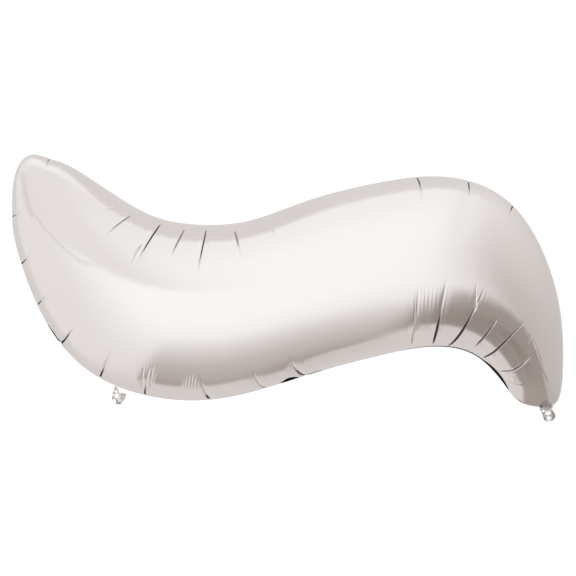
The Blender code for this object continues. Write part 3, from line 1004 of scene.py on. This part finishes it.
def finish_film(piece, node):
    rippled = piece.modifiers.new("ripples", "NODES")
    rippled.node_group = RIPPLE_TREE
    sockets = {
        item.name: item.identifier for item in RIPPLE_TREE.interface.items_tree
        if item.in_out == "INPUT"
    }
    rippled[sockets["Pitch"]] = RIPPLE_PITCH
    rippled[sockets["Depth"]] = RIPPLE_DEPTH
    rippled[sockets["Foil"]] = FOIL
    graph = bpy.context.evaluated_depsgraph_get()
    plain = bpy.data.meshes.new_from_object(piece.evaluated_get(graph), depsgraph=graph)
    piece.modifiers.remove(rippled)
    piece.data = plain
    plain.materials.clear()
    plain.materials.append(FOIL)
    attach(piece, "envelope")
    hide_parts(node)


finish_film(front_skin, "front_film")
finish_film(back_skin, "back_film")
print("films dressed, triangles:", sum(len(p.vertices) - 2 for p in front_skin.data.polygons))

# %% [markdown]
# ## The fill neck
#
# At the lowest point of the right tip the two films run on as a short flat neck, where the
# balloon is filled. Each ply is a small sheet, a little crumpled, that carries on from the
# weld without a step. It bends where it leaves the weld.

# %% Seats of the hanging pieces
NECK_TILT = math.radians(11)
NECK_HALF = 11.0
NECK_LENGTH = 4.0
VALVE_TOP = 4.0             # where the clear tube comes out of the neck
VALVE_LENGTH = 18.5
VALVE_OPENS = 8.0           # depth from which the clear tube stands open
HANG_GAP = 0.05             # between a hanging piece and the weld
TAB_X = -267.0
TAB_TILT = math.radians(8)


def edge_height(x):
    return float(np.interp(x, LOWER_EDGE[:, 0], LOWER_EDGE[:, 1]))


def hang(seat_x, tilt):
    seat = np.array([seat_x, 0.0, edge_height(seat_x)])
    down = np.array([math.sin(tilt), 0.0, -math.cos(tilt)])
    across = np.array([math.cos(tilt), 0.0, math.sin(tilt)])
    return seat, across, down


NECK = hang(NECK_X, NECK_TILT)
TAB = hang(TAB_X, TAB_TILT)
print("neck hangs at", NECK[0].round(1), "tab hangs at", TAB[0].round(1))

# %% A thin closed sheet
UV_SIDE = 0.02              # a sheet counts as this many metres wide for the fine lines


def sheet(name, shape, rows, columns, thickness, **stored):
    """Closed sheet from shape(u, v), which gives a middle point in mm; u and v run 0 to 1."""
    places = [
        (j/(columns - 1), i/(rows - 1)) for i in range(rows) for j in range(columns)
    ]
    grid = np.array([shape(u, v) for u, v in places]).reshape(rows, columns, 3)
    normal = np.cross(np.gradient(grid, axis=0), np.gradient(grid, axis=1))
    normal /= np.linalg.norm(normal, axis=2)[:, :, None]
    top = (grid + normal*thickness/2).reshape(-1, 3)
    low = (grid - normal*thickness/2).reshape(-1, 3)
    ids = np.arange(rows*columns).reshape(rows, columns)
    under = rows*columns
    faces = []
    for a, b, c, d in zip(*(part.ravel() for part in (
        ids[:-1, :-1], ids[1:, :-1], ids[1:, 1:], ids[:-1, 1:]
    ))):
        faces.append((a, b, c, d))
        faces.append((a + under, d + under, c + under, b + under))
    for line, turned in ((ids[0], False), (ids[:, -1], False), (ids[:, 0], True), (ids[-1], True)):
        for a, b in zip(line, line[1:]):
            rest = (a + under, b + under, b) if turned else (b, b + under, a + under)
            faces.append((a, *rest))
    mesh = bpy.data.meshes.new(name)
    mesh.from_pydata(
        (np.concatenate([top, low])*MM).tolist(), [], [[int(k) for k in face] for face in faces]
    )
    mesh.shade_smooth()
    store_uv(mesh, np.tile(np.array(places)*UV_SIDE, (2, 1)))
    for key, value in stored.items():
        one_side = [value(u, v) if callable(value) else value for u, v in places]
        store(mesh, key, one_side*2)
    return add_object(name, mesh)


def hung_point(hung, aside, depth, height, start_aside, fade):
    """Point of a hanging sheet whose top row follows the edge of the weld."""
    seat, across, down = hung
    point = seat + across*aside + down*depth
    top = seat + across*start_aside
    lift = edge_height(top[0]) - HANG_GAP - top[2]
    point = point + np.array([0, 0, lift*fade])
    point[1] = height
    return point


# %% Neck plies


def neck_shape(side):
    near = GAP/2 + 0.3          # height of the ply at the weld, and where it stands open
    far = 1.25

    def shape(u, v):
        depth = NECK_LENGTH*v
        across = -1 + 2*u
        half = NECK_HALF - 1.0*v
        opened = min(1.0, depth/3.0)
        crumple = 0.28*math.sin(9*across + 5*v)*v + 0.2*math.sin(17*across - 9*v + side)*v
        height = near + (far - near)*opened + max(-0.25, crumple)*opened
        lip = 0.5*math.sin(5*across + 1.3)*v*v
        fade = max(0.0, 1 - v)
        return hung_point(NECK, across*half, depth + lip, side*height, across*NECK_HALF, fade)

    return shape


for name, node, side in (("neck_front_ply", "neck_front", -1), ("neck_back_ply", "neck_back", 1)):
    # Both neck plies carry an even painted shade that darkens their foil.
    ply = sheet(name, neck_shape(side), 28, 44, 0.35, shade=0.4, inboard=20.0)
    ply.data.materials.append(FOIL)
    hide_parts(node)
    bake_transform(ply)
    print(name, "has", len(ply.data.polygons), "faces")

# %% [markdown]
# ## Clear valve film
#
# Out of the neck comes a flat tube of clear film, the valve that closes by itself. Handling
# has crumpled it, and it stands open like a small ring. Clear film shows mostly at its folds
# and edges, where light crosses more of it, so the material turns denser there, and its colour
# turns dark there as a painted reflection of the darker surroundings.

# %% Clear film material


def clear_material(name):
    paint = Paint(bpy.data.materials.new(name))
    shader = paint.tree.nodes["Principled BSDF"]
    shader.inputs["IOR"].default_value = 1.5
    facing = paint.value(paint.node("ShaderNodeLayerWeight", {"Blend": 0.35}), "Facing")
    position = paint.node("ShaderNodeTexCoord").outputs["Object"]
    creased = paint.value(paint.node(
        "ShaderNodeTexNoise", {"Vector": position, "Scale": 330.0, "Detail": 2.0}
    ), "Fac")
    veil = paint.stored("veil")
    dense = (veil*(0.82 + (creased - 0.5)*1.2) + facing*veil*0.4).clamp()
    # The denser the film, the darker its colour: painted reflection of the dark surroundings in its
    # folds.
    paint.set(shader.inputs["Base Color"], paint.blend(
        (dense*1.5 - 0.25).clamp(), (0.72, 0.70, 0.67, 1), (0.17, 0.155, 0.14, 1)
    ))
    paint.set(shader.inputs["Roughness"], 0.10 + creased*0.12)
    paint.set(shader.inputs["Alpha"], dense)
    bump = paint.node("ShaderNodeBump", {"Height": creased, "Strength": 0.5, "Distance": 0.0006})
    paint.set(shader.inputs["Normal"], bump.outputs[0])
    return paint.owner


CLEAR = clear_material("clear_film_look")
CLEAR_BASE = 0.45           # how much a single clear ply hides
print("material:", CLEAR.name)


def veil_at(marks, across, depth):
    """How dense the clear film looks, dense parts darker with painted reflection; each mark is an
    oval with its own density.
    """
    dense = CLEAR_BASE
    for middle, low, half, high, density in marks:
        away = math.hypot((across - middle)/half, (depth - low)/high)
        share = min(1.0, max(0.0, 1.6 - 1.1*away))
        dense += (density - dense)*share
    return dense


def section(table, depth):
    """Half width and sideways shift of a hanging piece at a distance from the weld."""
    return [np.interp(depth, table[:, 0], table[:, k]) for k in (1, 2)]


def veil_of(marks, table, top, length):
    def veil(u, v):
        depth = top + length*v
        half, shift = section(table, depth)
        return veil_at(marks, (-1 + 2*u)*half + shift, depth)

    return veil


# %% Valve plies
# columns: distance from the weld, half width, sideways shift
VALVE_SECTIONS = np.array([
    (4.0, 8.8, 0.0),
    (8.0, 9.2, 0.5),
    (10.5, 9.6, 1.5),
    (13.5, 9.8, 2.1),
    (17.0, 9.6, 2.3),
    (20.0, 8.6, 2.0),
    (22.5, 5.2, 1.2),
])
# columns: across, distance from the weld, half width, half height, density, which also sets the
# painted reflection
VALVE_MARKS = [
    (9.8, 10.0, 3.0, 7.0, 0.62),
    (10.0, 16.0, 3.0, 4.5, 0.70),
    (6.5, 20.8, 5.0, 1.8, 0.66),
    (-6.5, 13.0, 1.8, 5.0, 0.50),
    (-5.6, 8.8, 2.0, 2.0, 0.62),
    (-4.6, 5.0, 2.4, 1.4, 0.05),
    (1.2, 10.2, 4.4, 2.6, 0.02),
    (0.4, 14.2, 4.6, 1.1, 0.50),
    (0.8, 18.0, 3.4, 2.8, 0.02),
    (-4.8, 17.6, 2.2, 2.0, 0.74),
]


def valve_shape(side):
    def shape(u, v):
        depth = VALVE_TOP + VALVE_LENGTH*v
        across = -1 + 2*u
        out = max(0.0, depth - VALVE_OPENS)/(VALVE_TOP + VALVE_LENGTH - VALVE_OPENS)
        half, shift = section(VALVE_SECTIONS, depth)
        bulge = 5.6*math.sin(out*math.pi*0.62)*(1 - across*across)**0.8
        crumple = out*(0.7*math.sin(7*across + 11*out + side) + 0.4*math.sin(15*across - 7*out))
        crumple *= 1 - abs(across)**4
        height = 0.32 + bulge + crumple*0.6 + 0.6*out
        lip = 0.9*out*math.sin(4*across + side)
        return hung_point(NECK, across*half + shift, depth + lip, side*max(0.32, height), 0.0, 0.0)

    return shape


valve_veil = veil_of(VALVE_MARKS, VALVE_SECTIONS, VALVE_TOP, VALVE_LENGTH)
for name, node, side in (("valve_front_ply", "valve_front", -1), ("valve_back_ply", "valve_back", 1)):
    ply = sheet(name, valve_shape(side), 60, 50, 0.3, veil=valve_veil)
    ply.data.materials.append(CLEAR)
    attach(ply, "fill_tail")
    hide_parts(node)
    print(name, "has", len(ply.data.polygons), "faces")

# %% [markdown]
# ## The tie tab
#
# A small clear tab at the bottom of the left lobe takes a ribbon. It is a narrow strip at
# the weld that opens into a crumpled leaf of film with a hole, rolled up at its sides.

# %% Tie tab
# columns: distance from the weld, half width, sideways shift, curl
TAB_SECTIONS = np.array([
    (0.0, 2.6, -1.2, 0.0),
    (5.0, 3.6, -2.4, 0.4),
    (8.5, 5.2, -3.5, 1.2),
    (10.5, 9.0, -1.2, 2.0),
    (12.5, 11.6, 1.0, 3.0),
    (16.0, 12.0, -0.2, 4.5),
    (20.0, 11.4, -1.2, 4.5),
    (24.0, 8.8, -2.6, 3.0),
    (28.0, 3.8, -2.4, 1.5),
])
TAB_LENGTH = 28.0
TAB_START = 3.2             # half width of the tab on the weld
# columns: across, distance from the weld, half width, half height, density, which also sets the
# painted reflection
TAB_MARKS = [
    (-3.6, 2.6, 2.4, 4.0, 0.70),
    (0.6, 7.5, 1.4, 4.0, 0.64),
    (-3.2, 7.6, 1.2, 1.8, 0.15),
    (6.4, 17.0, 6.0, 7.0, 0.62),
    (-3.2, 14.4, 2.4, 2.6, 0.00),
    (-8.2, 22.6, 2.4, 2.0, 0.00),
    (-7.4, 10.4, 2.6, 1.6, 0.68),
    (-11.6, 16.0, 1.8, 3.0, 0.66),
    (-8.4, 17.4, 2.8, 1.0, 0.80),
    (-5.4, 18.8, 1.8, 1.2, 0.80),
    (-3.8, 22.4, 1.2, 3.0, 0.80),
    (11.8, 13.0, 2.0, 2.6, 0.95),
    (-1.4, 26.4, 3.2, 1.8, 0.90),
]


def tab_shape(u, v):
    depth = TAB_LENGTH*v
    across = -1 + 2*u
    half, shift = section(TAB_SECTIONS, depth)
    curl = np.interp(depth, TAB_SECTIONS[:, 0], TAB_SECTIONS[:, 3])
    crumple = 0.8*v*(math.sin(6*across + 13*v) + 0.5*math.sin(13*across - 9*v))
    height = curl*(across*across - 0.4) + crumple
    roll = 1 - 0.08*abs(across)**3*min(1.0, v*2)
    return hung_point(TAB, across*half*roll + shift, depth, height, across*TAB_START, max(0.0, 1 - v))


tab_veil = veil_of(TAB_MARKS, TAB_SECTIONS, 0.0, TAB_LENGTH)
tab_piece = sheet("tie_tab_film", tab_shape, 70, 50, 0.35, veil=tab_veil)
tab_piece.data.materials.append(CLEAR)
tab_piece.visible_glossy = False       # too thin and clear to show in the foil
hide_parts("tie_tab")
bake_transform(tab_piece)
print("tab hangs down to", round(min(v.co.z for v in tab_piece.data.vertices), 4))

# %% [markdown]
# ## The studio
#
# A shiny object shows its surroundings, so the surroundings are the lighting. The photograph
# tells what stood there: a bright white front and ceiling, which ends in a clear line just
# behind the top of the balloon, a darker wall behind that, and below the balloon a floor
# that darkens towards it. The world is painted by direction to hold the same things. The
# camera itself sees plain white behind the balloon.

# %% World by direction
# columns: degrees round from the front over the top, brightness
TONES = [
    (-180, 0.69), (-106, 0.70), (-100, 0.76), (-60, 0.86), (-36, 0.97),
    (-16, 1.03), (0, 1.04), (50, 1.02), (80, 0.96), (103, 0.96), (107, 0.76), (180, 0.72),
]
FACE_TONE = 1.05            # what the lens sees behind the balloon
WARM_GREEN = 1.12           # powers that darken green and blue more than red
WARM_BLUE = 1.21


def warm(paint, tone):
    """Grey that turns a little browner the darker it is; tone is a value or a plain number."""
    if not isinstance(tone, Value):
        return (tone, tone**WARM_GREEN, tone**WARM_BLUE, 1)
    return paint.node("ShaderNodeCombineColor", {
        "Red": tone, "Green": tone.power(WARM_GREEN), "Blue": tone.power(WARM_BLUE),
    }).outputs[0]


def studio_world():
    world = bpy.data.worlds.new("studio")
    bpy.context.scene.world = world
    paint = Paint(world)
    background = paint.tree.nodes["Background"]
    direction = paint.node("ShaderNodeTexCoord").outputs["Generated"]
    parts = paint.node("ShaderNodeSeparateXYZ", {"Vector": direction})
    x, y, z = (paint.value(parts, k) for k in range(3))
    round_turn = z.maths("ARCTAN2", z, y*-1.0)/(2*math.pi) + 0.5
    ramp = paint.node("ShaderNodeValToRGB", {"Fac": round_turn})
    stops = ramp.color_ramp.elements
    while len(stops) > 1:
        stops.remove(stops[-1])
    for k, (degrees, tone) in enumerate(TONES):
        stop = stops[0] if k == 0 else stops.new(degrees/360 + 0.5)
        stop.position = degrees/360 + 0.5
        stop.color = (tone/2, tone/2, tone/2, 1)
    middle = paint.value(ramp, "Color")*2.0
    right = ((x - 0.14)/0.5).clamp()
    right_tone = z.maths("MAXIMUM", z, 0.0)*0.28 + z.maths("MINIMUM", z, 0.0)*0.14 + 0.60
    left = ((x*-1.0 - 0.22)/0.53).clamp()
    left_tone = z.maths("MAXIMUM", z, 0.0)*0.05 + 0.84 - ((y - 0.35)/0.2).clamp()*0.12
    tone = middle*(1 - right) + right_tone*right
    tone = tone*(1 - left) + left_tone*left
    camera_ray = paint.value(paint.node("ShaderNodeLightPath"), "Is Camera Ray")
    paint.set(background.inputs["Color"], paint.blend(
        camera_ray, warm(paint, tone), (FACE_TONE, FACE_TONE, FACE_TONE, 1)
    ))


studio_world()
bpy.context.scene.view_settings.view_transform = "Standard"
print("world tones:", len(TONES))

# %% [markdown]
# ## Cards
#
# Five flat cards stand close to the balloon, as a photographer would place them. A dark one
# below gives the long dark band along the belly. A second one, nearer and darker, hangs under
# the right-hand bend, and a small pale one on it makes the light strip along the inner edge.
# Two grey ones stand over the left half: one draws the band along the top, the other takes
# the glare off the tip. They are only seen as reflections, never by the lens.

# %% A plane and a card


def plane(name, corners, height):
    mesh = bpy.data.meshes.new(name)
    mesh.from_pydata([(x, y, height) for x, y in corners], [], [tuple(range(len(corners)))])
    return add_object(name, mesh)


CARDS = []


def card(name, corners, height, tone_of, cover_of):
    """Glowing card; tone_of and cover_of turn its own x and y into brightness and cover."""
    made = plane(name, corners, height)
    paint = Paint(bpy.data.materials.new(name + "_face"))
    nodes = paint.tree.nodes
    nodes.remove(nodes["Principled BSDF"])
    place = paint.node("ShaderNodeSeparateXYZ", {
        "Vector": paint.node("ShaderNodeTexCoord").outputs["Object"],
    })
    x, y = paint.value(place, 0), paint.value(place, 1)
    glow = paint.node("ShaderNodeEmission", {"Color": warm(paint, tone_of(x, y))})
    clear = paint.node("ShaderNodeBsdfTransparent")
    mixed = paint.node("ShaderNodeMixShader", {"Fac": cover_of(x, y)})
    paint.tree.links.new(clear.outputs[0], mixed.inputs[1])
    paint.tree.links.new(glow.outputs[0], mixed.inputs[2])
    paint.tree.links.new(mixed.outputs[0], nodes["Material Output"].inputs["Surface"])
    made.data.materials.append(paint.owner)
    made.visible_camera = False
    made.visible_diffuse = False
    made.visible_shadow = False
    made.visible_transmission = False
    CARDS.append(made)


card(
    "belly_card", [
        (-0.36, -0.95), (0.42, -0.95), (0.42, -0.22), (0.34, -0.18), (0.30, -0.11), (0.26, -0.02),
        (0.23, 0.015), (0.17, 0.01), (0.13, 0.10), (0.08, 0.10), (0.03, 0.03), (-0.36, 0.03),
    ], -0.55,
    lambda x, y: (
        0.44 + (x + 0.3).clamp()*0.12 + (y*-1.0).clamp()*0.33 - ((y + 0.06)/0.06).clamp()*0.06
        - ((x - 0.06)/0.1).clamp()*((y + 0.2)/0.2).clamp()*0.06
    ),
    lambda x, y: ((y + 0.85)/0.62).clamp(),
)
card(
    "bend_card", [
        (0.17, -0.075), (0.17, -0.46), (0.36, -0.84), (0.66, -0.78), (0.68, -0.4), (0.53, -0.16),
        (0.44, -0.03), (0.42, 0.03), (0.41, 0.12), (0.33, 0.12), (0.32, -0.06), (0.27, -0.085),
        (0.245, -0.10),
    ], -0.25,
    lambda x, y: (
        0.30 + ((x - 0.30)/0.06).clamp()*0.05 + ((y + 0.14)/0.06).clamp()*0.03
        - (1.3 - (x - 0.385).size()/0.06 - (y + 0.225).size()/0.09).clamp()*0.08
    ),
    lambda x, y: (
        ((y + x*2.6 - 0.33)/0.16).clamp()*((x - 0.17)/0.08).clamp()*((y + 0.84)/0.38).clamp()
    ),
)
card(
    "fill_card", [
        (0.235, -0.095), (0.255, -0.105), (0.30, -0.077), (0.325, -0.072), (0.342, -0.05),
        (0.352, -0.02), (0.36, 0.05), (0.235, 0.03),
    ], -0.249,
    lambda x, y: 0.69,
    lambda x, y: ((y*0.2 - x + 0.352)/0.014).clamp(),
)
card(
    "top_card", [(-0.7, -0.06), (0.02, -0.06), (0.02, 1.2), (-0.7, 1.2)], 0.40,
    lambda x, y: 0.72,
    lambda x, y: (
        ((0.02 - x)/0.08).clamp()*((x + 0.36)/0.08).clamp()
        * ((y + 0.045 - ((x + 0.15)/0.04).clamp()*0.04 - (x*-1.0 - 0.17).clamp()*1.2)/0.02).clamp()
    ),
)
card(
    "tip_card", [(-1.3, -1.2), (-0.04, -1.2), (-0.04, -0.06), (-1.3, -0.06)], 0.32,
    lambda x, y: 0.82,
    lambda x, y: ((x + 0.10)/-0.24).clamp(),
)
print("cards:", [made.name for made in CARDS])

# %% Floor
FLOOR_Z = -0.75
FLOOR_HALF = 30.0
signs = ((-1, -1), (1, -1), (1, 1), (-1, 1))
floor = plane("floor", [(a*FLOOR_HALF, b*FLOOR_HALF) for a, b in signs], FLOOR_Z)
floor_paint = Paint(bpy.data.materials.new("pale_floor"))
floor_shader = floor_paint.tree.nodes["Principled BSDF"]
floor_shader.inputs["Base Color"].default_value = (0.9, 0.9, 0.9, 1)
floor_shader.inputs["Roughness"].default_value = 0.9
floor_shader.inputs["Emission Color"].default_value = (1, 1, 1, 1)
floor_shader.inputs["Emission Strength"].default_value = 0.45
floor.data.materials.append(floor_paint.owner)
floor.visible_glossy = False
